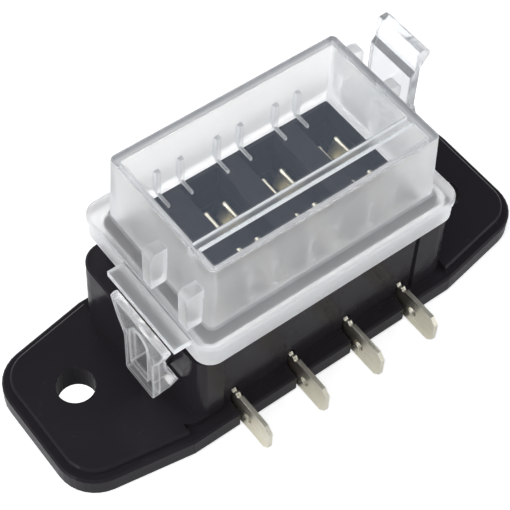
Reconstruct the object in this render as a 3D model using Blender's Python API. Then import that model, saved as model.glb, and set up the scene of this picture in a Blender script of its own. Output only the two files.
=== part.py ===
"""Blade fuse block: a base with four ways, a clear cover and two flip latches."""
import math

import bmesh
import bpy
from mathutils import Matrix

MM = 0.001

# Clearances and the small sizes every moulding shares
GAP = 0.3 * MM            # between pieces that touch
BITE = 0.5 * MM           # overlap that joins two forms of one moulding
PAST = 1.0 * MM           # how far a cutter passes the face it opens
EDGE = 0.35 * MM          # rounded outer edges
ARC_STEPS = 8

# Ways: a fuse stands across the block in each of them
WAYS = 4
PITCH = 11.6 * MM
WELL_WIDTH = 7.1 * MM
WELL_LENGTH = 23.2 * MM
WELL_FLOOR = 18.0 * MM
FUSE_REST = 22.5 * MM
FUSE_SHOULDER = 0.15 * MM
SPINE_WIDTH = 4.4 * MM
POCKET_WIDTH = 4.9 * MM
POCKET_INNER = 2.6 * MM
POCKET_SHORT = 0.3 * MM

# Head and block of the housing
HEAD_TOP = 26.5 * MM
HEAD_END = 2.45 * MM
HEAD_SIDE = 2.7 * MM
HEAD_CORNER = 2.0 * MM
BLOCK_TOP = 21.0 * MM
BLOCK_LEDGE = 4.9 * MM
BLOCK_SIDE = 0.2 * MM
BLOCK_CORNER = 4.0 * MM
BLOCK_DRAFT = 0.15 * MM
PANEL_DEPTH = 0.5 * MM
PANEL_EDGE = 8.4 * MM
PANEL_SKIN = 0.8 * MM

# Base plate of the housing
RIM_HEIGHT = 3.9 * MM
RAISE = 1.3 * MM
RIM_LEDGE = 1.4 * MM
TAIL = 18.65 * MM
FRONT_LEDGE = 2.2 * MM
END_WIDTH = 28.8 * MM
PLATE_CORNER = 7.1 * MM
NOTCH = 1.2 * MM
HOLE_DIAMETER = 6.6 * MM
HOLE_OUT = 8.65 * MM
HOLE_ASIDE = 2.65 * MM

# Terminals: a blade outside, a folded contact inside
SHEET = 0.8 * MM
BLADE_HEIGHT = 6.3 * MM
BLADE_LENGTH = 7.8 * MM
BLADE_BOTTOM = 1.05 * MM
BLADE_TIP = 1.2 * MM
BLADE_HOLE = 1.7 * MM
BLADE_HOLE_IN = 2.4 * MM
NECK_HEIGHT = 4.0 * MM
NECK_OUT = 1.35 * MM
BODY_HEIGHT = 8.0 * MM
CONTACT_INNER = 2.9 * MM
CONTACT_LENGTH = 4.7 * MM
CONTACT_BASE = 11.2 * MM
CONTACT_TOP = 22.65 * MM
CONTACT_SPREAD = 3.74 * MM
CONTACT_THROAT = 0.9 * MM
CONTACT_BEND = 3.3 * MM
CONTACT_MOUTH = 3.0 * MM
LEAF = 0.5 * MM

# Cover
FLANGE_THICK = 1.6 * MM
FLANGE_WIDTH = 3.35 * MM
FLANGE_CORNER = 3.2 * MM
SKIRT_DEPTH = 4.6 * MM
SKIRT_WALL = 1.6 * MM
SKIRT_PLAY_END = 0.45 * MM
SKIRT_PLAY_SIDE = 1.0 * MM
BEAD_HEIGHT = 1.1 * MM
BEAD = 0.25 * MM
COVER_HEIGHT = 13.9 * MM
COVER_WALL = 1.3 * MM
COVER_DRAFT = 0.45 * MM
COVER_CORNER = 1.0 * MM
COVER_EDGE = 0.4 * MM
COVER_FILLET = 0.3 * MM
EAR_DEPTH = 2.8 * MM
EAR_THICK = 2.2 * MM
EAR_HEIGHT = 8.1 * MM
EAR_ROUND = 1.2 * MM
EAR_SPACING = 9.2 * MM
RIB_THICK = 0.8 * MM
RIB_DEPTH = 1.0 * MM
RIB_FOOT = 0.6 * MM
RIB_HEIGHT = 5.0 * MM
RIB_SPREAD = 4.5 * MM
TOP_RIB_ASIDE = 7.3 * MM
TOP_RIB_THICK = 1.3 * MM
TOP_RIB_DEPTH = 1.2 * MM
BRACKET_FRONT = 7.3 * MM
BRACKET_BACK = 10.2 * MM
BRACKET_THICK = 1.2 * MM
BRACKET_DROP = 0.1 * MM
BRACKET_ROOT = 1.4 * MM

# Both latches: hinge, root and recess
LATCH_ASIDE = 5.8 * MM
LATCH_LENGTH = 16.5 * MM
LATCH_PLAY = 0.45 * MM
STRAP = 1.3 * MM
BARREL = 1.4 * MM
ROOT_WIDTH = 14.0 * MM
SHOULDER_WIDTH = 10.8 * MM
SHOULDER_DROP = 4.0 * MM
HINGE_DROP = 1.2 * MM
RECESS_PLAY = 0.45 * MM
RECESS_CORNER = 2.5 * MM

# Left latch: a strap with thick legs, a window and a long wedge lip, and its tooth
STRAP_WIDTH = 7.5 * MM
ROOT_DROP = 6.8 * MM
LEG_DEPTH = 2.7 * MM
LEG_TOP = 4.5 * MM
LEG_FULL = 8.4 * MM
LIP_HEIGHT = 3.5 * MM
NOSE_REACH = 4.9 * MM
NOSE_LIFT = 1.2 * MM
NOSE_RISE = 6.1 * MM
WINDOW_WIDTH = 4.6 * MM
WINDOW_TOP = 2.3 * MM
TOOTH = 2.1 * MM
TOOTH_WIDTH = 3.8 * MM
TOOTH_HEIGHT = 2.3 * MM
TOOTH_LAND = 0.6 * MM

# Right latch: a wide stepped plate with a short lip, and its tooth
WIDE_WIDTH = 9.9 * MM
WIDE_OUTER = 1.5 * MM
WIDE_INNER = 0.3 * MM
WIDE_THIN = 0.7 * MM
WIDE_NECK = 1.3 * MM
WIDE_STEP = 11.3 * MM
WIDE_SLANT = 1.0 * MM
WIDE_LIP = 1.9 * MM
WIDE_LIP_HEIGHT = 3.9 * MM
WIDE_CHAMFER = 0.8 * MM
WIDE_HOLD = 0.5 * MM
WIDE_HOOK = 2.7 * MM
WIDE_TOOTH_WIDTH = 6.0 * MM
WIDE_TOOTH_LAND = 1.4 * MM
WIDE_TOOTH_HEIGHT = 3.6 * MM

# Worked out from the sizes above
way_x = [(way - (WAYS - 1) / 2) * PITCH for way in range(WAYS)]
head_x = way_x[-1] + WELL_WIDTH / 2 + HEAD_END
head_y = WELL_LENGTH / 2 + HEAD_SIDE
block_x = head_x + BLOCK_LEDGE
block_y = head_y + BLOCK_SIDE
plate_x = block_x + TAIL
plate_y = block_y + FRONT_LEDGE
straight_x = block_x - NOTCH
plate_top = RIM_HEIGHT + RAISE
pocket_y = WELL_LENGTH / 2 - POCKET_SHORT
flange_under = HEAD_TOP + GAP
flange_top = flange_under + FLANGE_THICK
skirt_x = head_x + SKIRT_PLAY_END
skirt_y = head_y + SKIRT_PLAY_SIDE
flange_x = skirt_x + SKIRT_WALL
flange_y = skirt_y + SKIRT_WALL
foot_x = flange_x - FLANGE_WIDTH
foot_y = flange_y - FLANGE_WIDTH
cover_top = flange_top + COVER_HEIGHT
hinge_x = block_x + LATCH_PLAY + STRAP / 2
hinge_z = flange_top - HINGE_DROP
bracket_x = hinge_x - BARREL / 2 - GAP
nose_x = hinge_x + STRAP / 2 - NOSE_REACH
recess_x = nose_x - GAP
lip_top = hinge_z - LATCH_LENGTH + LIP_HEIGHT
tooth_under = lip_top + GAP
wide_tooth_end = hinge_x - WIDE_LIP + WIDE_HOLD
wide_tooth_under = hinge_z - LATCH_LENGTH + WIDE_HOOK


def put(axis, u, v, w):
    return {"X": (w, u, v), "Y": (u, w, v), "Z": (u, v, w)}[axis]


def add_prism(bm, outline, axis, low, high):
    """Outline pushed along an axis from low to high."""
    ends = [[bm.verts.new(put(axis, u, v, w)) for u, v in outline] for w in (low, high)]
    faces = [bm.faces.new(ends[0]), bm.faces.new(ends[1])]
    for k in range(len(outline)):
        n = (k + 1) % len(outline)
        faces.append(bm.faces.new((ends[0][k], ends[0][n], ends[1][n], ends[1][k])))
    bmesh.ops.recalc_face_normals(bm, faces=faces)


def add_box(bm, x0, x1, y0, y1, z0, z1):
    add_prism(bm, [(x0, y0), (x1, y0), (x1, y1), (x0, y1)], "Z", z0, z1)


def add_half_turn(bm):
    """Copy of everything so far, turned half round the upright axis."""
    copy = bmesh.ops.duplicate(bm, geom=bm.verts[:] + bm.edges[:] + bm.faces[:])["geom"]
    verts = [item for item in copy if isinstance(item, bmesh.types.BMVert)]
    bmesh.ops.rotate(bm, verts=verts, cent=(0, 0, 0), matrix=Matrix.Rotation(math.pi, 3, "Z"))


def prism(outline, axis, low, high):
    bm = bmesh.new()
    add_prism(bm, outline, axis, low, high)
    return bm


def loft(rings):
    """Closed skin through rings of equal point count, capped at both ends."""
    bm = bmesh.new()
    loops = [[bm.verts.new(point) for point in ring] for ring in rings]
    for low, high in zip(loops, loops[1:]):
        for k in range(len(low)):
            n = (k + 1) % len(low)
            bm.faces.new((low[k], low[n], high[n], high[k]))
    bm.faces.new(loops[0])
    bm.faces.new(loops[-1])
    bmesh.ops.recalc_face_normals(bm, faces=bm.faces[:])
    return bm


def rounded_ring(half_x, half_y, radius, z):
    points = []
    for sx, sy, start in ((1, 1, 0), (-1, 1, 90), (-1, -1, 180), (1, -1, 270)):
        for k in range(ARC_STEPS + 1):
            angle = math.radians(start + 90 * k / ARC_STEPS)
            points.append((sx * (half_x - radius) + radius * math.cos(angle),
                           sy * (half_y - radius) + radius * math.sin(angle), z))
    return points


def circle(cu, cv, radius, steps=32):
    return [(cu + radius * math.cos(2 * math.pi * k / steps),
             cv + radius * math.sin(2 * math.pi * k / steps)) for k in range(steps)]


def arc(cu, cv, radius, start, stop, steps=ARC_STEPS):
    """Points of an arc between two angles in degrees."""
    angles = [math.radians(start + (stop - start) * k / steps) for k in range(steps + 1)]
    return [(cu + radius * math.cos(a), cv + radius * math.sin(a)) for a in angles]


def end_outline(inset):
    """Right-hand end of the plate, from its straight middle round both corners."""
    radius = PLATE_CORNER - inset
    cx, cy = plate_x - inset - radius, END_WIDTH / 2 - inset - radius
    px, py = straight_x, plate_y - inset
    start = math.atan2(py - cy, px - cx) - math.acos(radius / math.hypot(px - cx, py - cy))
    upper = [(px, py)]
    for k in range(ARC_STEPS + 1):
        angle = start * (1 - k / ARC_STEPS)
        upper.append((cx + radius * math.cos(angle), cy + radius * math.sin(angle)))
    return upper + [(x, -y) for x, y in reversed(upper)]


def plate_outline(inset):
    half = end_outline(inset)
    return half + [(-x, -y) for x, y in half]


def at_height(outline, z):
    return [(x, y, z) for x, y in outline]


def make_material(name, colour, roughness, metallic=0.0, alpha=1.0):
    material = bpy.data.materials.new(name)
    material.use_nodes = True
    shader = material.node_tree.nodes["Principled BSDF"]
    shader.inputs["Base Color"].default_value = (*colour, 1.0)
    shader.inputs["Roughness"].default_value = roughness
    shader.inputs["Metallic"].default_value = metallic
    shader.inputs["Alpha"].default_value = alpha
    material.diffuse_color = (*colour, alpha)
    return material


def add_object(name, mesh_or_bm, material=None):
    if isinstance(mesh_or_bm, bmesh.types.BMesh):
        mesh = bpy.data.meshes.new(name)
        mesh_or_bm.to_mesh(mesh)
        mesh_or_bm.free()
    else:
        mesh = mesh_or_bm
    mesh.shade_smooth()
    mesh.set_sharp_from_angle(angle=math.radians(35))
    if material:
        mesh.materials.clear()
        mesh.materials.append(material)
    obj = bpy.data.objects.new(name, mesh)
    bpy.context.scene.collection.objects.link(obj)
    return obj


def add_form(target, what, bm, operation="UNION"):
    """Joins a form to the target, or cuts it away, with a boolean modifier."""
    form = add_object("%s_%s" % (target.name, what), bm)
    form.hide_render = True
    form.display_type = "WIRE"
    modifier = target.modifiers.new(what, "BOOLEAN")
    modifier.operation = operation
    modifier.solver = "EXACT"
    modifier.object = form
    return form


def settled_mesh(obj):
    """Mesh with the booleans applied; the object and its forms are taken away."""
    bpy.context.view_layer.update()
    graph = bpy.context.evaluated_depsgraph_get()
    mesh = bpy.data.meshes.new_from_object(obj.evaluated_get(graph), depsgraph=graph)
    for form in [modifier.object for modifier in obj.modifiers]:
        bpy.data.objects.remove(form, do_unlink=True)
    bpy.data.objects.remove(obj, do_unlink=True)
    return mesh


def build_housing():
    black = make_material("housing_black", (0.016, 0.014, 0.018), 0.22)
    housing = add_object("base_housing", loft([
        at_height(plate_outline(EDGE), 0.0), at_height(plate_outline(0.0), EDGE),
        at_height(plate_outline(0.0), RIM_HEIGHT - EDGE),
        at_height(plate_outline(EDGE), RIM_HEIGHT)]), black)

    # Raised end plates
    raised = loft([at_height(end_outline(RIM_LEDGE), RIM_HEIGHT / 2),
                   at_height(end_outline(RIM_LEDGE), plate_top - EDGE),
                   at_height(end_outline(RIM_LEDGE + EDGE), plate_top)])
    add_half_turn(raised)
    add_form(housing, "raised_ends", raised)

    # Block and head
    add_form(housing, "block", loft([
        rounded_ring(block_x, block_y, BLOCK_CORNER, RIM_HEIGHT / 2),
        rounded_ring(block_x - BLOCK_DRAFT, block_y - BLOCK_DRAFT, BLOCK_CORNER, BLOCK_TOP - EDGE),
        rounded_ring(block_x - BLOCK_DRAFT - EDGE, block_y - BLOCK_DRAFT - EDGE,
                     BLOCK_CORNER - EDGE, BLOCK_TOP)]))
    add_form(housing, "head", loft([
        rounded_ring(head_x, head_y, HEAD_CORNER, BLOCK_TOP - 2 * PAST),
        rounded_ring(head_x, head_y, HEAD_CORNER, HEAD_TOP - EDGE),
        rounded_ring(head_x - EDGE, head_y - EDGE, HEAD_CORNER - EDGE, HEAD_TOP)]))

    # Sunk panels of the long walls
    panels = bmesh.new()
    add_box(panels, PANEL_EDGE - block_x, block_x - PANEL_EDGE, -(plate_y + PAST),
            -(block_y - PANEL_DEPTH), RIM_HEIGHT + BITE, BLOCK_TOP - PANEL_SKIN)
    add_half_turn(panels)
    add_form(housing, "panels", panels, "DIFFERENCE")

    # Wells for the fuses, open through the head, with a spine across the middle
    wells = bmesh.new()
    for x in way_x:
        for low, high in ((-WELL_LENGTH / 2, -SPINE_WIDTH / 2), (SPINE_WIDTH / 2, WELL_LENGTH / 2)):
            add_box(wells, x - WELL_WIDTH / 2, x + WELL_WIDTH / 2, low, high,
                    WELL_FLOOR, HEAD_TOP + PAST)
    add_form(housing, "wells", wells, "DIFFERENCE")
    mouths = bmesh.new()
    half_u, half_v = WELL_WIDTH / 2 + FUSE_SHOULDER, WELL_LENGTH / 2 + FUSE_SHOULDER
    for x in way_x:
        add_box(mouths, x - half_u, x + half_u, -half_v, half_v, FUSE_REST, HEAD_TOP + PAST)
    add_form(housing, "mouths", mouths, "DIFFERENCE")

    # Pockets the terminals are pushed into from below, and the slots their blades leave by
    pockets = bmesh.new()
    slots = bmesh.new()
    half_slot = SHEET / 2 + GAP
    for x in way_x:
        for side in (-1, 1):
            low, high = sorted((side * POCKET_INNER, side * pocket_y))
            add_box(pockets, x - POCKET_WIDTH / 2, x + POCKET_WIDTH / 2, low, high,
                    -PAST, WELL_FLOOR + BITE)
            low, high = sorted((side * (pocket_y - BITE), side * (plate_y + PAST)))
            add_box(slots, x - half_slot, x + half_slot, low, high,
                    -PAST, BLADE_BOTTOM + BLADE_HEIGHT + GAP)
    add_form(housing, "pockets", pockets, "DIFFERENCE")
    add_form(housing, "slots", slots, "DIFFERENCE")

    # Screw holes
    holes = prism(circle(-(block_x + HOLE_OUT), HOLE_ASIDE, HOLE_DIAMETER / 2), "Z",
                  -PAST, plate_top + PAST)
    add_half_turn(holes)
    add_form(housing, "screw_holes", holes, "DIFFERENCE")

    # Recessed end corners the latches close into
    recesses = bmesh.new()
    corner_x, corner_y = -(recess_x - RECESS_CORNER), -(block_y - RECESS_CORNER)
    for turn, width in ((1, STRAP_WIDTH), (-1, WIDE_WIDTH)):
        far_side = -LATCH_ASIDE + width / 2 + RECESS_PLAY
        outline = [(-(block_x + PAST), far_side), (-recess_x, far_side)]
        outline += arc(corner_x, corner_y, RECESS_CORNER, 180, 270)
        outline += [(corner_x, -(block_y + PAST)), (-(block_x + PAST), -(block_y + PAST))]
        add_prism(recesses, [(turn * x, turn * y) for x, y in outline], "Z",
                  plate_top, BLOCK_TOP + PAST)
    add_form(housing, "end_recesses", recesses, "DIFFERENCE")

    # A tooth in each recess
    inner, outer, under = -(recess_x - BITE), -(recess_x + TOOTH), tooth_under
    teeth = prism([(inner, under), (outer, under), (outer, under + TOOTH_LAND),
                   (inner, under + TOOTH_HEIGHT)], "Y",
                  -LATCH_ASIDE - TOOTH_WIDTH / 2, -LATCH_ASIDE + TOOTH_WIDTH / 2)
    inner, outer, under = recess_x - BITE, wide_tooth_end, wide_tooth_under
    add_prism(teeth, [(inner, under), (outer, under), (outer, under + WIDE_TOOTH_LAND),
                      (inner, under + WIDE_TOOTH_HEIGHT)], "Y",
              LATCH_ASIDE - WIDE_TOOTH_WIDTH / 2, LATCH_ASIDE + WIDE_TOOTH_WIDTH / 2)
    add_form(housing, "teeth", teeth)


def cover_rings():
    """Rings of the cover shell, down the outside and up the inside."""
    top_x, top_y = foot_x - COVER_DRAFT, foot_y - COVER_DRAFT
    rings = []
    for inset, drop in arc(COVER_EDGE, COVER_EDGE, COVER_EDGE, 270, 180, 4):
        rings.append(rounded_ring(top_x - inset, top_y - inset, COVER_CORNER - inset,
                                  cover_top - drop))
    skirt_foot = flange_top - SKIRT_DEPTH
    bead_foot = flange_top - BEAD_HEIGHT
    inner_corner = FLANGE_CORNER - SKIRT_WALL
    return rings + [
        rounded_ring(foot_x, foot_y, COVER_CORNER, flange_top + COVER_FILLET),
        rounded_ring(foot_x + COVER_FILLET, foot_y + COVER_FILLET, COVER_CORNER + COVER_FILLET,
                     flange_top),
        rounded_ring(flange_x - EDGE, flange_y - EDGE, FLANGE_CORNER - EDGE, flange_top),
        rounded_ring(flange_x, flange_y, FLANGE_CORNER, flange_top - EDGE),
        rounded_ring(flange_x, flange_y, FLANGE_CORNER, bead_foot),
        rounded_ring(flange_x - BEAD, flange_y - BEAD, FLANGE_CORNER - BEAD, bead_foot - BEAD),
        rounded_ring(flange_x - BEAD, flange_y - BEAD, FLANGE_CORNER - BEAD, skirt_foot),
        rounded_ring(skirt_x, skirt_y, inner_corner, skirt_foot),
        rounded_ring(skirt_x, skirt_y, inner_corner, flange_under),
        rounded_ring(foot_x - COVER_WALL, foot_y - COVER_WALL, COVER_CORNER - COVER_WALL / 2,
                     flange_under),
        rounded_ring(top_x - COVER_WALL, top_y - COVER_WALL, COVER_CORNER - COVER_WALL / 2,
                     cover_top - COVER_WALL)]


def build_cover():
    clear = make_material("cover_clear", (0.62, 0.63, 0.66), 0.18, alpha=0.35)
    cover = add_object("cover", loft(cover_rings()), clear)

    # Brackets that carry the latch hinges
    brackets = bmesh.new()
    add_box(brackets, -bracket_x, -(flange_x - BRACKET_ROOT), -LATCH_ASIDE - BRACKET_FRONT,
            -LATCH_ASIDE + BRACKET_BACK, flange_top - BRACKET_DROP - BRACKET_THICK,
            flange_top - BRACKET_DROP)
    add_half_turn(brackets)
    add_form(cover, "brackets", brackets)

    # Upright ears beside each latch
    inner, outer = foot_x - BITE, foot_x + EAR_DEPTH
    top = flange_top + EAR_HEIGHT
    outline = [(-inner, flange_top - BITE), (-inner, top)]
    outline += [(-(outer - EAR_ROUND + u), top - EAR_ROUND + v)
                for u, v in arc(0, 0, EAR_ROUND, 90, 0, 6)]
    outline.append((-outer, flange_top - BITE))
    ears = bmesh.new()
    for side in (-1, 1):
        middle = -LATCH_ASIDE + side * EAR_SPACING / 2
        add_prism(ears, outline, "Y", middle - EAR_THICK / 2, middle + EAR_THICK / 2)
    add_half_turn(ears)
    add_form(cover, "ears", ears)

    # Short ribs inside the long walls and one long rib under the top
    ribs = bmesh.new()
    reach = foot_y - COVER_WALL - RIB_DEPTH
    for left, right in zip(way_x, way_x[1:]):
        for side in (-1, 1):
            x = (left + right) / 2 + side * RIB_SPREAD / 2
            for low, high in ((-(foot_y - BITE), -reach), (reach, foot_y - BITE)):
                add_box(ribs, x - RIB_THICK / 2, x + RIB_THICK / 2, low, high,
                        flange_top + RIB_FOOT, flange_top + RIB_FOOT + RIB_HEIGHT)
    add_form(cover, "wall_ribs", ribs)
    rib = bmesh.new()
    end = foot_x - COVER_DRAFT - COVER_WALL / 2
    add_box(rib, -end, end, -TOP_RIB_ASIDE - TOP_RIB_THICK / 2, -TOP_RIB_ASIDE + TOP_RIB_THICK / 2,
            cover_top - COVER_WALL - TOP_RIB_DEPTH, cover_top - COVER_WALL / 2)
    add_form(cover, "top_rib", rib)


def mirrored(right):
    """Whole outline from its right half, running from the top down."""
    return right + [(-y, z) for y, z in reversed(right)]


def add_roll(latch):
    """Rolled hinge edge along the top of a latch."""
    half = (ROOT_WIDTH - EDGE) / 2
    add_form(latch, "roll", prism(circle(0.0, 0.0, BARREL / 2, 24), "Y", -half, half))


def strap_latch_mesh():
    """Left latch as it hangs closed, its hinge at the origin and the block towards +X."""
    half_strap, half_sheet = STRAP_WIDTH / 2, STRAP / 2
    front = mirrored([(ROOT_WIDTH / 2, 0.0), (SHOULDER_WIDTH / 2, -SHOULDER_DROP),
                      (half_strap, -ROOT_DROP), (half_strap, EDGE - LATCH_LENGTH),
                      (half_strap - EDGE, -LATCH_LENGTH)])
    latch = add_object("latch", prism(front, "X", -half_sheet, half_sheet))

    # Thickened legs and the wedge nose of the lip, seen from the side
    core = half_sheet - EDGE
    leg = LEG_DEPTH - half_sheet
    side = [(-core, EDGE / 4 - LATCH_LENGTH), (leg + 2 * EDGE, EDGE - LATCH_LENGTH),
            (NOSE_REACH - half_sheet, NOSE_LIFT - LATCH_LENGTH), (leg, NOSE_RISE - LATCH_LENGTH),
            (leg, -LEG_FULL), (core, -LEG_TOP), (-core, -LEG_TOP)]
    width = half_strap - EDGE / 2
    add_form(latch, "legs", prism(side, "Y", -width, width))
    add_roll(latch)

    # Arched window over the tooth
    half_window = WINDOW_WIDTH / 2
    window = [(-half_window, LIP_HEIGHT - LATCH_LENGTH), (half_window, LIP_HEIGHT - LATCH_LENGTH)]
    window += arc(0.0, -WINDOW_TOP - half_window, half_window, 0, 180, 16)
    add_form(latch, "window", prism(window, "X", -STRAP, NOSE_REACH + PAST), "DIFFERENCE")
    return settled_mesh(latch)


def wide_latch_mesh():
    """Right latch in the same position as the left one."""
    half_sheet, slant = STRAP / 2, WIDE_NECK + WIDE_SLANT
    side = [(-half_sheet, 0.0), (-half_sheet, -WIDE_NECK), (-WIDE_OUTER, -slant),
            (-WIDE_OUTER, -WIDE_STEP), (-WIDE_THIN, -WIDE_STEP - WIDE_SLANT),
            (-WIDE_THIN, EDGE - LATCH_LENGTH), (EDGE - WIDE_THIN, -LATCH_LENGTH),
            (WIDE_LIP - WIDE_CHAMFER, -LATCH_LENGTH), (WIDE_LIP, WIDE_CHAMFER - LATCH_LENGTH),
            (WIDE_LIP, 2 * WIDE_CHAMFER - LATCH_LENGTH),
            (WIDE_INNER, WIDE_LIP_HEIGHT - LATCH_LENGTH), (WIDE_INNER, -slant),
            (half_sheet, -WIDE_NECK), (half_sheet, 0.0)]
    latch = add_object("latch", prism(side, "Y", -WIDE_WIDTH / 2, WIDE_WIDTH / 2))
    flare = mirrored([((ROOT_WIDTH - EDGE) / 2, 0.0), (SHOULDER_WIDTH / 2, -SHOULDER_DROP)])
    add_form(latch, "flare", prism(flare, "X", EDGE / 2 - half_sheet, WIDE_INNER - EDGE / 2))
    add_roll(latch)
    return settled_mesh(latch)


def build_latches():
    clear = make_material("latch_clear", (0.66, 0.67, 0.70), 0.2, alpha=0.4)
    left = add_object("latch_left", strap_latch_mesh(), clear)
    left.location = (-hinge_x, -LATCH_ASIDE, hinge_z)
    right = add_object("latch_right", wide_latch_mesh(), clear)
    right.location = (hinge_x, LATCH_ASIDE, hinge_z)
    right.rotation_euler = (math.pi, 0.0, 0.0)


def terminal_mesh():
    """Terminal of the front row, its blade pointing to -Y."""
    low, blade_top = BLADE_BOTTOM, BLADE_BOTTOM + BLADE_HEIGHT
    shoulder = -(block_y + NECK_OUT)
    tip = shoulder - BLADE_LENGTH
    body_out, body_in = -(pocket_y - GAP), -(POCKET_INNER + 2 * GAP)
    riser_out = -(CONTACT_INNER + CONTACT_LENGTH) + GAP
    middle = (low + blade_top) / 2
    neck_low, neck_top = middle - NECK_HEIGHT / 2, middle + NECK_HEIGHT / 2
    sheet = [(tip, low + BLADE_TIP), (tip + BLADE_TIP, low), (shoulder, low),
             (shoulder, neck_low), (body_out, neck_low), (body_out, low), (body_in, low),
             (body_in, CONTACT_BASE + LEAF / 2), (riser_out, CONTACT_BASE + LEAF / 2),
             (riser_out, low + BODY_HEIGHT), (body_out, low + BODY_HEIGHT), (body_out, neck_top),
             (shoulder, neck_top), (shoulder, blade_top), (tip + BLADE_TIP, blade_top),
             (tip, blade_top - BLADE_TIP)]
    terminal = add_object("terminal", prism(sheet, "X", -SHEET / 2, SHEET / 2))

    # Contact folded up into two leaves that close on the fuse blade
    half = (CONTACT_SPREAD + LEAF) / 2
    throat = CONTACT_THROAT / 2
    bend, mouth = CONTACT_BASE + CONTACT_BEND, CONTACT_TOP - CONTACT_MOUTH
    right = [(half, CONTACT_BASE), (half, bend), (throat + LEAF, mouth), (half, CONTACT_TOP),
             (half - LEAF, CONTACT_TOP), (throat, mouth), (half - LEAF, bend),
             (half - LEAF, CONTACT_BASE + LEAF)]
    fold = right + [(-x, z) for x, z in reversed(right)]
    add_form(terminal, "fold", prism(fold, "Y", -(CONTACT_INNER + CONTACT_LENGTH), -CONTACT_INNER))
    hole = circle(shoulder - BLADE_HOLE_IN, middle, BLADE_HOLE / 2, 20)
    add_form(terminal, "hole", prism(hole, "X", -SHEET, SHEET), "DIFFERENCE")
    return settled_mesh(terminal)


def build_terminals():
    plated = make_material("terminal_plated", (0.56, 0.55, 0.50), 0.32, metallic=1.0)
    mesh = terminal_mesh()
    for way, x in enumerate(way_x, 1):
        front = add_object("terminal_front_%d" % way, mesh.copy(), plated)
        front.location = (x, 0.0, 0.0)
        rear = add_object("terminal_rear_%d" % way, mesh.copy(), plated)
        rear.location = (x, 0.0, 0.0)
        rear.rotation_euler = (0.0, 0.0, math.pi)


for old in list(bpy.data.objects):
    bpy.data.objects.remove(old, do_unlink=True)
build_housing()
build_cover()
build_latches()
build_terminals()
bpy.context.view_layer.update()
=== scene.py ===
import math

import bmesh
import bpy
from mathutils import Matrix, Vector


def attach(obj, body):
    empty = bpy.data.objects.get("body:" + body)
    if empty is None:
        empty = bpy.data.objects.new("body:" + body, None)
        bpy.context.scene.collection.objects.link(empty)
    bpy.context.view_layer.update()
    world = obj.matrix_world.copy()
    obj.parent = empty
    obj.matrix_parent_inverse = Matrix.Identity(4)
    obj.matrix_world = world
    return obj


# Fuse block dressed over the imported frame. Lengths in millimetres, turned to metres by mm.
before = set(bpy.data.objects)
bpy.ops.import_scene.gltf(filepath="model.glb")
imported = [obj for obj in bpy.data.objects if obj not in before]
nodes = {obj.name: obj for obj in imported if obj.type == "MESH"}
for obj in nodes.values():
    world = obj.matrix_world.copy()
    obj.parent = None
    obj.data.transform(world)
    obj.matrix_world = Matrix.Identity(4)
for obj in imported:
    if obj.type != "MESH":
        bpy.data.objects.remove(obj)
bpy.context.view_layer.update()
mm = 0.001
print("frame loaded:", len(nodes), "nodes")


# Camera of the photograph
shot = {"size": 510, "azimuth": -39.88, "elevation": 54.68, "roll": 3.20,
        "distance": 256.8, "aimHeight": 15.0, "aside": 2.33, "above": 0.55, "focal": 1560.3}


def addCamera():
    a, e, r = (math.radians(shot[key]) for key in ("azimuth", "elevation", "roll"))
    back = Vector((math.sin(a) * math.cos(e), -math.cos(a) * math.cos(e), math.sin(e)))
    flat = Vector((math.cos(a), math.sin(a), 0.0))
    up = back.cross(flat)
    right = math.cos(r) * flat + math.sin(r) * up
    top = math.cos(r) * up - math.sin(r) * flat
    eye = Vector((0.0, 0.0, shot["aimHeight"])) - shot["aside"] * right - shot["above"] * top
    eye = (eye + shot["distance"] * back) * mm
    data = bpy.data.cameras.new("camera")
    data.sensor_width = 36.0
    data.lens = shot["focal"] / shot["size"] * data.sensor_width
    data.clip_start, data.clip_end = 0.01, 10.0
    camera = bpy.data.objects.new("camera", data)
    spin = Matrix((right, top, back)).transposed().to_4x4()
    camera.matrix_world = Matrix.Translation(eye) @ spin
    bpy.context.scene.collection.objects.link(camera)
    bpy.context.scene.camera = camera


addCamera()
print("camera placed")


# Small tools for node materials
def newMaterial(name):
    material = bpy.data.materials.new(name)
    material.use_nodes = True
    tree = material.node_tree
    return material, tree, tree.nodes["Principled BSDF"], tree.nodes["Material Output"]


def addNode(tree, kind, settings=None, **inputs):
    node = tree.nodes.new(kind)
    for key, value in (settings or {}).items():
        setattr(node, key, value)
    for key, value in inputs.items():
        node.inputs[key.replace("_", " ")].default_value = value
    return node


# Noise in object space; scale is per metre
def noise(tree, scale, detail=3.0, stretch=(1, 1, 1)):
    place = addNode(tree, "ShaderNodeTexCoord")
    fit = addNode(tree, "ShaderNodeMapping")
    fit.inputs["Scale"].default_value = stretch
    tree.links.new(place.outputs["Object"], fit.inputs["Vector"])
    grain = addNode(tree, "ShaderNodeTexNoise", Scale=scale, Detail=detail)
    tree.links.new(fit.outputs["Vector"], grain.inputs["Vector"])
    return grain.outputs["Fac"]


# A value spread between two numbers
def spread(tree, value, low, high, fromLow=0.3, fromHigh=0.7):
    fit = addNode(tree, "ShaderNodeMapRange")
    for key, number in (("From Min", fromLow), ("From Max", fromHigh), ("To Min", low), ("To Max", high)):
        fit.inputs[key].default_value = number
    tree.links.new(value, fit.inputs["Value"])
    return fit.outputs["Result"]


# A socket takes another socket's value, a colour or a number
def feed(tree, socket, value):
    if isinstance(value, bpy.types.NodeSocket):
        tree.links.new(value, socket)
    else:
        socket.default_value = (*value, 1) if isinstance(value, tuple) else value


def blend(tree, kind, amount, first, second):
    mix = addNode(tree, "ShaderNodeMix", {"data_type": kind})
    for name, value in (("Factor", amount), ("A", first), ("B", second)):
        feed(tree, mix.inputs[name], value)
    wanted = "RGBA" if kind == "RGBA" else "VALUE"
    return next(out for out in mix.outputs if out.type == wanted)


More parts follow.
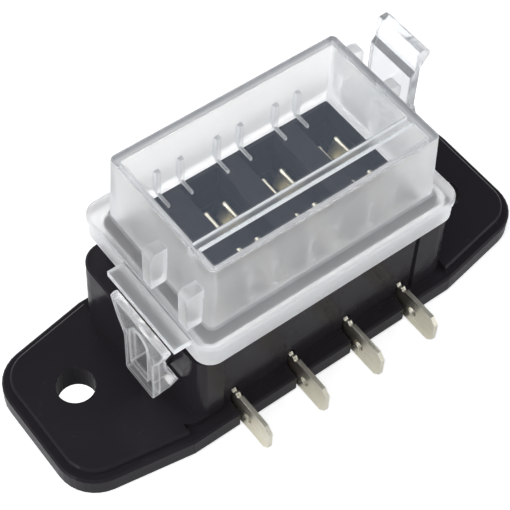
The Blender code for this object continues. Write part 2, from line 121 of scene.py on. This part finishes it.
def calculate(tree, operation, first, second=None):
    node = addNode(tree, "ShaderNodeMath", {"operation": operation})
    feed(tree, node.inputs[0], first)
    if second is not None:
        feed(tree, node.inputs[1], second)
    return node.outputs["Value"]


def larger(tree, first, second):
    return calculate(tree, "MAXIMUM", first, second)


def product(tree, *values):
    result = values[0]
    for value in values[1:]:
        result = calculate(tree, "MULTIPLY", result, value)
    return result


def withoutSign(tree, value):
    return calculate(tree, "ABSOLUTE", value)


# 1 above a level in millimetres and 0 below it, or the other way round
def above(tree, value, level, width):
    return spread(tree, value, 0.0, 1.0, level * mm, (level + width) * mm)


def below(tree, value, level, width):
    return spread(tree, value, 1.0, 0.0, level * mm, (level + width) * mm)


def mixShaders(tree, amount, first, second):
    mix = addNode(tree, "ShaderNodeMixShader")
    for place, value in enumerate((amount, first, second)):
        feed(tree, mix.inputs[place], value)
    return mix.outputs["Shader"]


def addShaders(tree, first, second):
    both = addNode(tree, "ShaderNodeAddShader")
    feed(tree, both.inputs[0], first)
    feed(tree, both.inputs[1], second)
    return both.outputs["Shader"]


def addBump(tree, height, shader, depth, strength, normal):
    bump = addNode(tree, "ShaderNodeBump", Strength=strength, Distance=depth * mm)
    feed(tree, bump.inputs["Height"], height)
    feed(tree, bump.inputs["Normal"], normal)
    feed(tree, shader.inputs["Normal"], bump.outputs["Normal"])


def softEdges(tree, radius):
    edge = addNode(tree, "ShaderNodeBevel", {"samples": 4}, Radius=radius * mm)
    return edge.outputs["Normal"]


# 1 along the edges of the mesh, 0 on its open faces
def edgeLine(tree, width, least=0.86):
    shape = addNode(tree, "ShaderNodeNewGeometry")
    turn = addNode(tree, "ShaderNodeVectorMath", {"operation": "DOT_PRODUCT"})
    feed(tree, turn.inputs[0], softEdges(tree, width))
    feed(tree, turn.inputs[1], shape.outputs["True Normal"])
    return spread(tree, turn.outputs["Value"], 0.0, 1.0, 0.985, least)


# Black moulded housing: gloss with a faint flow mottle and a few handling marks
housingLook = {"dark": (0.0195, 0.0170, 0.0205), "light": (0.0270, 0.0235, 0.0280),
               "gloss": 0.16, "matt": 0.30, "edge": 0.12, "grain": 0.003, "shine": 0.10, "index": 1.5}


def housingMaterial():
    look = housingLook
    material, tree, shader, _ = newMaterial("housing_black")
    broad = noise(tree, 60.0, 4.0)
    fine = noise(tree, 2600.0, 2.0)
    marks = noise(tree, 420.0, 4.0)
    feed(tree, shader.inputs["Base Color"], blend(tree, "RGBA", broad, look["dark"], look["light"]))
    feed(tree, shader.inputs["Roughness"],
         product(tree, spread(tree, broad, 0.8, 1.2), spread(tree, marks, look["gloss"], look["matt"], 0.45, 0.8)))
    addBump(tree, fine, shader, look["grain"], 0.10, softEdges(tree, look["edge"]))
    shader.inputs["IOR"].default_value = look["index"]
    shader.inputs["Specular IOR Level"].default_value = look["shine"]
    return material


# Clear moulded cover and latches: polished on the cover's top, frosted by the mould elsewhere
coverLook = {
    "tint": (0.970, 0.963, 0.946), "milk": (0.95, 0.955, 0.97), "shade": (0.86, 0.87, 0.88), "index": 1.46,
    # glow and skirtGlow set a painted glow, an emission in the scattering parts
    "smooth": 0.02, "frosted": 0.34, "edge": 0.30, "flow": 0.02, "back": 0.20, "glow": 0.12,
    # Scattering share of the top, the walls and the ledges; window is the height where the top begins
    "window": 40.6, "top": 0.015, "walls": 0.16, "ledges": 0.17,
    # The skirt's sides, up to its top, scatter more and carry a stronger painted glow
    "skirtTop": 28.45, "skirt": 2.1, "skirtGlow": 3.3,
    "rim": 0.75, "rimWidth": 0.75, "rimTint": (0.62, 0.63, 0.655), "topRim": 0.30,
    # Long rib under the top
    "rib": 0.75, "ribEnd": 20.3, "ribAt": -7.3, "ribHalf": 0.75, "ribFrom": 39.6,
    # Short ribs of the long walls: nearest and farthest from the middle, foot, head
    "ribs": (10.9, 12.9, 28.8, 34.6), "ribSide": 0.7,
    # Painted shade: the top is greyed over the far and right walls
    "wallX": 20.35, "wallY": 11.8, "paintedWallShade": (0.42, 0.42, 0.435),
    # Painted reflection of the bluish room on the polished top, as a faint emission
    "paintedSkyReflection": 0.5, "paintedSkyReflectionTint": (0.015, 0.024, 0.040)}
plainLook = dict(coverLook, paintedSkyReflection=0.0, skirt=1.0, skirtGlow=1.0, ribSide=0.0)
latchLook = dict(plainLook, paintedWallShade=coverLook["tint"], walls=0.14, ledges=0.10, frosted=0.14, rim=0.80, glow=0.2)
openLook = dict(plainLook, tint=(0.91, 0.915, 0.925), paintedWallShade=(0.91, 0.915, 0.925), milk=(0.66, 0.67, 0.69),
                walls=0.12, ledges=0.12, frosted=0.10, rim=0.45, rimWidth=0.5, glow=0.0, back=0.5)


# Where a point of the clear parts lies and how it faces, each from 0 to 1
def clearPlaces(tree, look):
    place = addNode(tree, "ShaderNodeTexCoord")
    faces = addNode(tree, "ShaderNodeSeparateXYZ")
    spots = addNode(tree, "ShaderNodeSeparateXYZ")
    feed(tree, faces.inputs["Vector"], place.outputs["Normal"])
    feed(tree, spots.inputs["Vector"], place.outputs["Object"])
    x, y, z = (spots.outputs[name] for name in "XYZ")
    flat = withoutSign(tree, faces.outputs["Z"])
    upright = spread(tree, flat, 1.0, 0.0, 0.3, 0.9)
    where = {"flat": flat}
    # Polished where the cover's top lies flat, quiet all over the top
    where["window"] = product(tree, above(tree, z, look["window"], 0.2), spread(tree, flat, 0.0, 1.0, 0.6, 0.95))
    where["quiet"] = spread(tree, z, 1.0, look["topRim"], (look["window"] - 0.8) * mm, (look["window"] - 0.4) * mm)
    where["skirt"] = product(tree, upright, below(tree, z, look["skirtTop"], 0.3))
    # 0 round the short ribs, which hardly show, so their edges stay plain
    near, far, foot, head = look["ribs"]
    out = withoutSign(tree, y)
    where["plain"] = larger(tree, below(tree, out, near - 0.05, 0.05), above(tree, out, far, 0.05))
    for other in (below(tree, z, foot - 0.05, 0.05), above(tree, z, head, 0.05)):
        where["plain"] = larger(tree, where["plain"], other)
    # Painted shade: where the top lies over the far and right walls its clear colour is greyed, standing in for
    # the dark seen through the walls from above
    where["overWall"] = product(tree, where["window"], larger(
        tree, above(tree, y, look["wallY"], 0.2), above(tree, x, look["wallX"], 0.2)))
    # The long rib under the top scatters on both of its sides and shows white, partly by lamp light and partly by
    # the painted glow
    away = withoutSign(tree, calculate(tree, "SUBTRACT", y, look["ribAt"] * mm))
    where["rib"] = product(tree, below(tree, away, look["ribHalf"], 0.1), above(tree, z, look["ribFrom"], 0.1),
                           below(tree, withoutSign(tree, x), look["ribEnd"], 0.1),
                           spread(tree, flat, look["rib"], 0.0, 0.2, 0.6))
    # The short ribs of the far wall scatter on their sides and show white, partly by the painted glow
    where["ribSide"] = product(tree, spread(tree, where["plain"], look["ribSide"], 0.0, 0.0, 1.0),
                               above(tree, y, 0.0, 1.0),
                               spread(tree, withoutSign(tree, faces.outputs["X"]), 0.0, 1.0, 0.5, 0.8))
    return where


def clearMaterial(name, look):
    material, tree, shader, output = newMaterial(name)
    broad = noise(tree, 70.0, 3.0)
    flow = noise(tree, 380.0, 2.0, (1.0, 1.0, 0.3))
    where = clearPlaces(tree, look)
    edges = edgeLine(tree, look["rimWidth"])
    # Share of light that scatters: least in the polished top, most along the edges
    share = blend(tree, "FLOAT", where["window"],
                  spread(tree, where["flat"], look["walls"], look["ledges"], 0.3, 0.9), look["top"])
    share = product(tree, share, spread(tree, broad, 0.86, 1.14), where["quiet"],
                    spread(tree, where["skirt"], 1.0, look["skirt"], 0.0, 1.0))
    share = larger(tree, share, product(tree, edges, look["rim"], where["plain"], where["quiet"]))
    share = larger(tree, larger(tree, share, where["rib"]), where["ribSide"])
    # Clear plastic
    colour = blend(tree, "RGBA", edges, look["tint"], look["rimTint"])
    # The clear colour takes the painted shade over the far and right walls
    feed(tree, shader.inputs["Base Color"], blend(tree, "RGBA", where["overWall"], colour, look["paintedWallShade"]))
    feed(tree, shader.inputs["Roughness"], blend(tree, "FLOAT", where["window"], look["frosted"], look["smooth"]))
    shader.inputs["Transmission Weight"].default_value = 1.0
    shader.inputs["IOR"].default_value = look["index"]
    addBump(tree, flow, shader, look["flow"], 0.2, softEdges(tree, look["edge"]))
    # Scattered light: some sent back, more let through
    milk = addNode(tree, "ShaderNodeBsdfTranslucent", Color=(*look["milk"], 1))
    skin = addNode(tree, "ShaderNodeBsdfDiffuse", Color=(*look["milk"], 1))
    scatter = mixShaders(tree, look["back"], milk.outputs["BSDF"], skin.outputs["BSDF"])
    # Painted glow: an emission in the milk colour, following the scattering share, makes these parts shine from
    # within though no lamp lights them so
    paintedGlow = addNode(tree, "ShaderNodeEmission", Color=(*look["milk"], 1))
    feed(tree, paintedGlow.inputs["Strength"],
         spread(tree, where["skirt"], look["glow"], look["glow"] * look["skirtGlow"], 0.0, 1.0))
    body = mixShaders(tree, share, shader.outputs["BSDF"], addShaders(tree, scatter, paintedGlow.outputs["Emission"]))
    # Painted reflection: a faint bluish emission on the polished top stands in for the room reflected there,
    # shared by its two faces
    paintedSkyReflection = addNode(tree, "ShaderNodeEmission", Color=(*look["paintedSkyReflectionTint"], 1))
    feed(tree, paintedSkyReflection.inputs["Strength"],
         product(tree, where["window"], spread(tree, broad, look["paintedSkyReflection"] * 0.9, look["paintedSkyReflection"] * 1.1)))
    body = addShaders(tree, body, paintedSkyReflection.outputs["Emission"])
    # Shadow and bounce rays pass straight through
    path = addNode(tree, "ShaderNodeLightPath")
    through = addNode(tree, "ShaderNodeBsdfTransparent", Color=(*look["shade"], 1))
    passing = larger(tree, path.outputs["Is Shadow Ray"], path.outputs["Is Diffuse Ray"])
    feed(tree, output.inputs["Surface"], mixShaders(tree, passing, body, through.outputs["BSDF"]))
    return material


# Tin plated terminals: brushed along the blade, with dull patches; sheared edges near white, rubbed tin with a
# painted highlight along them
terminalLook = {"dark": (0.86, 0.81, 0.66), "light": (0.97, 0.93, 0.78), "rubbedAndHighlit": (1.0, 1.0, 0.98),
                "bright": 0.26, "dull": 0.38, "edge": 0.16, "soft": 0.12, "brush": 0.02}


def terminalMaterial():
    look = terminalLook
    material, tree, shader, _ = newMaterial("terminal_plated")
    brush = noise(tree, 1800.0, 3.0, (1.0, 0.05, 1.0))
    patches = noise(tree, 260.0, 4.0)
    plain = blend(tree, "RGBA", spread(tree, patches, 0.0, 1.0), look["dark"], look["light"])
    # Sheared edges painted near white: a painted highlight along the bevels, with some rubbed tin
    feed(tree, shader.inputs["Base Color"],
         blend(tree, "RGBA", edgeLine(tree, look["edge"], 0.9), plain, look["rubbedAndHighlit"]))
    feed(tree, shader.inputs["Roughness"], spread(tree, brush, look["bright"], look["dull"]))
    shader.inputs["Metallic"].default_value = 1.0
    addBump(tree, brush, shader, look["brush"], 0.3, softEdges(tree, look["soft"]))
    return material


def dress(names, material):
    for name in names:
        data = nodes[name].data
        data.materials.clear()
        data.materials.append(material)


coverClear = clearMaterial("cover_clear", coverLook)
plated = terminalMaterial()
dress(["base_housing"], housingMaterial())
dress(["cover"], coverClear)
dress(["latch_left"], clearMaterial("latch_clear", latchLook))
dress(["latch_right"], clearMaterial("latch_clear_open", openLook))
dress([name for name in nodes if name.startswith("terminal")], plated)
print("materials on", len(nodes), "nodes")


# Small tools for the pieces
row = {"pitch": 11.6, "ways": 4}


def wayMiddles():
    return [(way - (row["ways"] - 1) / 2) * row["pitch"] for way in range(row["ways"])]


# Faces round a closed tube between two rings of points
def joinRings(mesh, low, high):
    for k in range(len(low)):
        n = (k + 1) % len(low)
        mesh.faces.new((low[k], low[n], high[n], high[k]))


# A plate from the same outline on both of its sides, given as two lists of points
def addPlate(mesh, *outlines):
    rings = [[mesh.verts.new(Vector(point) * mm) for point in outline] for outline in outlines]
    mesh.faces.new(rings[0])
    mesh.faces.new(rings[1])
    joinRings(mesh, *rings)


def addPiece(name, mesh, material, body, soft=0.0, segments=2):
    bmesh.ops.recalc_face_normals(mesh, faces=mesh.faces[:])
    data = bpy.data.meshes.new(name)
    mesh.to_mesh(data)
    mesh.free()
    data.materials.append(material)
    piece = bpy.data.objects.new(name, data)
    bpy.context.scene.collection.objects.link(piece)
    if soft:
        soften = piece.modifiers.new("soften", "BEVEL")
        soften.width = soft * mm
        soften.segments = segments
    else:
        data.shade_smooth()
    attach(piece, body)


# Rounded lips along the top of the contact leaves, inside the wells
lip = {"aside": 1.87, "frontInner": 1.1, "rearInner": 1.75, "outer": 7.65, "height": 22.86,
       "halfWidth": 0.42, "halfHeight": 0.30, "sides": 12,
       # Distance from either end and the share of the full section there, knob and all
       "ends": ((0.0, 0.45), (0.10, 0.95), (0.30, 1.35), (0.75, 1.35), (1.1, 1.0))}


def addLip(mesh, x, start, stop):
    length = abs(stop - start)
    way = 1 if stop > start else -1
    steps = [*lip["ends"], *((length - along, share) for along, share in reversed(lip["ends"]))]
    rings = []
    for along, share in steps:
        angles = [2 * math.pi * k / lip["sides"] for k in range(lip["sides"])]
        rings.append([mesh.verts.new((
            (x + lip["halfWidth"] * share * math.cos(angle)) * mm, (start + way * along) * mm,
            (lip["height"] + lip["halfHeight"] * share * math.sin(angle)) * mm)) for angle in angles])
    for low, high in zip(rings, rings[1:]):
        joinRings(mesh, low, high)
    mesh.faces.new(rings[0])
    mesh.faces.new(rings[-1])


for name, side, inner in (("front", -1, lip["frontInner"]), ("rear", 1, lip["rearInner"])):
    mesh = bmesh.new()
    for middle in wayMiddles():
        for aside in (-lip["aside"], lip["aside"]):
            addLip(mesh, middle + aside, side * inner, side * lip["outer"])
    addPiece("contact_lips_" + name, mesh, plated, "base")
print("contact lips made")


# Stamped waves on top of each neck, between the blade and the wall
neck = {"halfThick": 0.4, "soft": 0.08, "foot": 6.1,
        "top": ((15.95, 7.30), (15.70, 6.95), (15.45, 6.80), (15.20, 6.90), (15.05, 7.20), (14.85, 7.30),
                (14.60, 7.20), (14.45, 6.85), (14.20, 6.75), (13.95, 6.90), (13.80, 7.20), (13.50, 7.30),
                (12.20, 7.30))}
neckOutline = [(neck["top"][0][0], neck["foot"]), *neck["top"], (neck["top"][-1][0], neck["foot"])]

for name, side in (("front", -1), ("rear", 1)):
    mesh = bmesh.new()
    for middle in wayMiddles():
        addPlate(mesh, *([(middle + part * neck["halfThick"], side * y, z) for y, z in neckOutline]
                         for part in (-1, 1)))
    addPiece("neck_waves_" + name, mesh, plated, "base", neck["soft"])
print("neck waves made")


# The right ears stand a little taller than the left ones and are rounded on the outside
earTop = {"inner": 21.6, "outer": 25.4, "foot": 35.3, "head": 39.8, "halfThick": 1.12, "round": 1.3,
          "at": (1.2, 10.4), "steps": 8, "soft": 0.25}


def earOutline():
    outline = [(earTop["inner"], earTop["foot"]), (earTop["inner"], earTop["head"])]
    for k in range(earTop["steps"] + 1):
        angle = math.pi / 2 * (1 - k / earTop["steps"])
        outline.append((earTop["outer"] - earTop["round"] * (1 - math.cos(angle)),
                        earTop["head"] - earTop["round"] * (1 - math.sin(angle))))
    return [*outline, (earTop["outer"], earTop["foot"])]


mesh = bmesh.new()
for middle in earTop["at"]:
    addPlate(mesh, *([(x, middle + part * earTop["halfThick"], z) for x, z in earOutline()] for part in (-1, 1)))
addPiece("ear_tops", mesh, coverClear, "cover", earTop["soft"], 3)
print("ear tops made")


# Low ridges at the feet of the short ribs on the cover's far wall
ridge = {"aside": 2.25, "halfThick": 0.22, "wall": 12.1, "reach": 8.5, "foot": 28.1, "head": 28.9, "soft": 0.1}
ridgeLook = dict(coverLook, walls=0.10, ledges=0.12, skirt=1.0, skirtGlow=1.0, rim=0.25, ribSide=0.0, glow=0.0)

mesh = bmesh.new()
for gap in (-1, 0, 1):
    for way in (-1, 1):
        middle = gap * row["pitch"] + way * ridge["aside"]
        addPlate(mesh, *([(middle + part * ridge["halfThick"], y, z) for y, z in (
            (ridge["wall"], ridge["foot"]), (ridge["wall"], ridge["head"]),
            (ridge["reach"], ridge["head"]), (ridge["reach"], ridge["foot"]))] for part in (-1, 1)))
addPiece("cover_ridges", mesh, clearMaterial("ridge_clear", ridgeLook), "cover", ridge["soft"])
print("cover ridges made")


# Studio: white room, pale floor, broad soft lamps
studio = {"sky": (0.84, 0.91, 1.0), "overhead": 0.18, "horizon": 0.85, "skyFrom": 0.1, "skyTo": 0.55,
          "floor": 3000.0, "floorColour": (0.93, 0.93, 0.93), "floorShine": 0.1, "drop": 0.05, "lift": 0.55,
          # The screw holes get a stronger floor emission, painted light over the housing's shadow
          "holes": ((-36.95, 2.65), (36.95, -2.65)), "holeSize": 3.6, "holeLightOverShadow": 1.0, "aim": 18.0}
lamps = [
    {"name": "above", "at": (-160, -140, 520), "size": 420, "watts": 1.1},
    {"name": "left", "at": (-460, 40, 300), "size": 300, "watts": 0.9},
    {"name": "right", "at": (360, -330, 260), "size": 300, "watts": 0.5},
    {"name": "behind", "at": (80, 430, 260), "size": 320, "watts": 0.45}]


# 1 on rays from the camera and on those that pass clear plastic, else 0
def eyeRays(tree):
    path = addNode(tree, "ShaderNodeLightPath")
    return larger(tree, path.outputs["Is Camera Ray"], path.outputs["Is Transmission Ray"])


def floorMaterial():
    material, tree, shader, output = newMaterial("floor_pale")
    feed(tree, shader.inputs["Roughness"], spread(tree, noise(tree, 40.0), 0.55, 0.65))
    shader.inputs["Base Color"].default_value = (*studio["floorColour"], 1)
    shader.inputs["Specular IOR Level"].default_value = studio["floorShine"]
    # Seen by the camera the floor is close to white; deep in the screw holes a stronger emission is painted light
    # that lifts the housing's shadow there
    spot = addNode(tree, "ShaderNodeTexCoord")
    bright = 0.0
    for x, y in studio["holes"]:
        away = addNode(tree, "ShaderNodeVectorMath", {"operation": "DISTANCE"})
        away.inputs[1].default_value = (x * mm, y * mm, 0)
        feed(tree, away.inputs[0], spot.outputs["Object"])
        bright = larger(tree, spread(tree, away.outputs["Value"], studio["holeLightOverShadow"], studio["lift"],
                                     (studio["holeSize"] - 0.3) * mm, studio["holeSize"] * mm), bright)
    glow = addNode(tree, "ShaderNodeEmission")
    feed(tree, glow.inputs["Strength"], product(tree, eyeRays(tree), bright))
    feed(tree, output.inputs["Surface"], addShaders(tree, shader.outputs["BSDF"], glow.outputs["Emission"]))
    return material


def addFloor():
    half = studio["floor"] / 2 * mm
    mesh = bpy.data.meshes.new("floor")
    mesh.from_pydata([(-half, -half, 0), (half, -half, 0), (half, half, 0), (-half, half, 0)], [], [(0, 1, 2, 3)])
    mesh.materials.append(floorMaterial())
    floor = bpy.data.objects.new("floor", mesh)
    floor.location.z = -studio["drop"] * mm
    bpy.context.scene.collection.objects.link(floor)


def addLamps():
    aim = Vector((0, 0, studio["aim"] * mm))
    for lamp in lamps:
        data = bpy.data.lights.new(lamp["name"], "AREA")
        data.size = lamp["size"] * mm
        data.energy = lamp["watts"]
        item = bpy.data.objects.new(lamp["name"], data)
        item.location = Vector(lamp["at"]) * mm
        item.rotation_euler = (aim - item.location).to_track_quat("-Z", "Y").to_euler()
        bpy.context.scene.collection.objects.link(item)


# Dim and bluish overhead, bright and white towards the horizon; plain white to the eye
def addRoom():
    world = bpy.data.worlds.new("white_room")
    world.use_nodes = True
    tree = world.node_tree
    room = tree.nodes["Background"]
    place = addNode(tree, "ShaderNodeTexCoord")
    parts = addNode(tree, "ShaderNodeSeparateXYZ")
    feed(tree, parts.inputs["Vector"], place.outputs["Generated"])
    limits = (studio["skyFrom"], studio["skyTo"])
    feed(tree, room.inputs["Strength"],
         spread(tree, parts.outputs["Z"], studio["horizon"], studio["overhead"], *limits))
    feed(tree, room.inputs["Color"],
         blend(tree, "RGBA", spread(tree, parts.outputs["Z"], 0.0, 1.0, *limits), (1, 1, 1), studio["sky"]))
    seen = addNode(tree, "ShaderNodeBackground", Color=(1, 1, 1, 1), Strength=1.0)
    feed(tree, tree.nodes["World Output"].inputs["Surface"],
         mixShaders(tree, eyeRays(tree), room.outputs["Background"], seen.outputs["Background"]))
    bpy.context.scene.world = world


addFloor()
addLamps()
addRoom()
bpy.context.scene.view_settings.view_transform = "Standard"
print("studio lit")
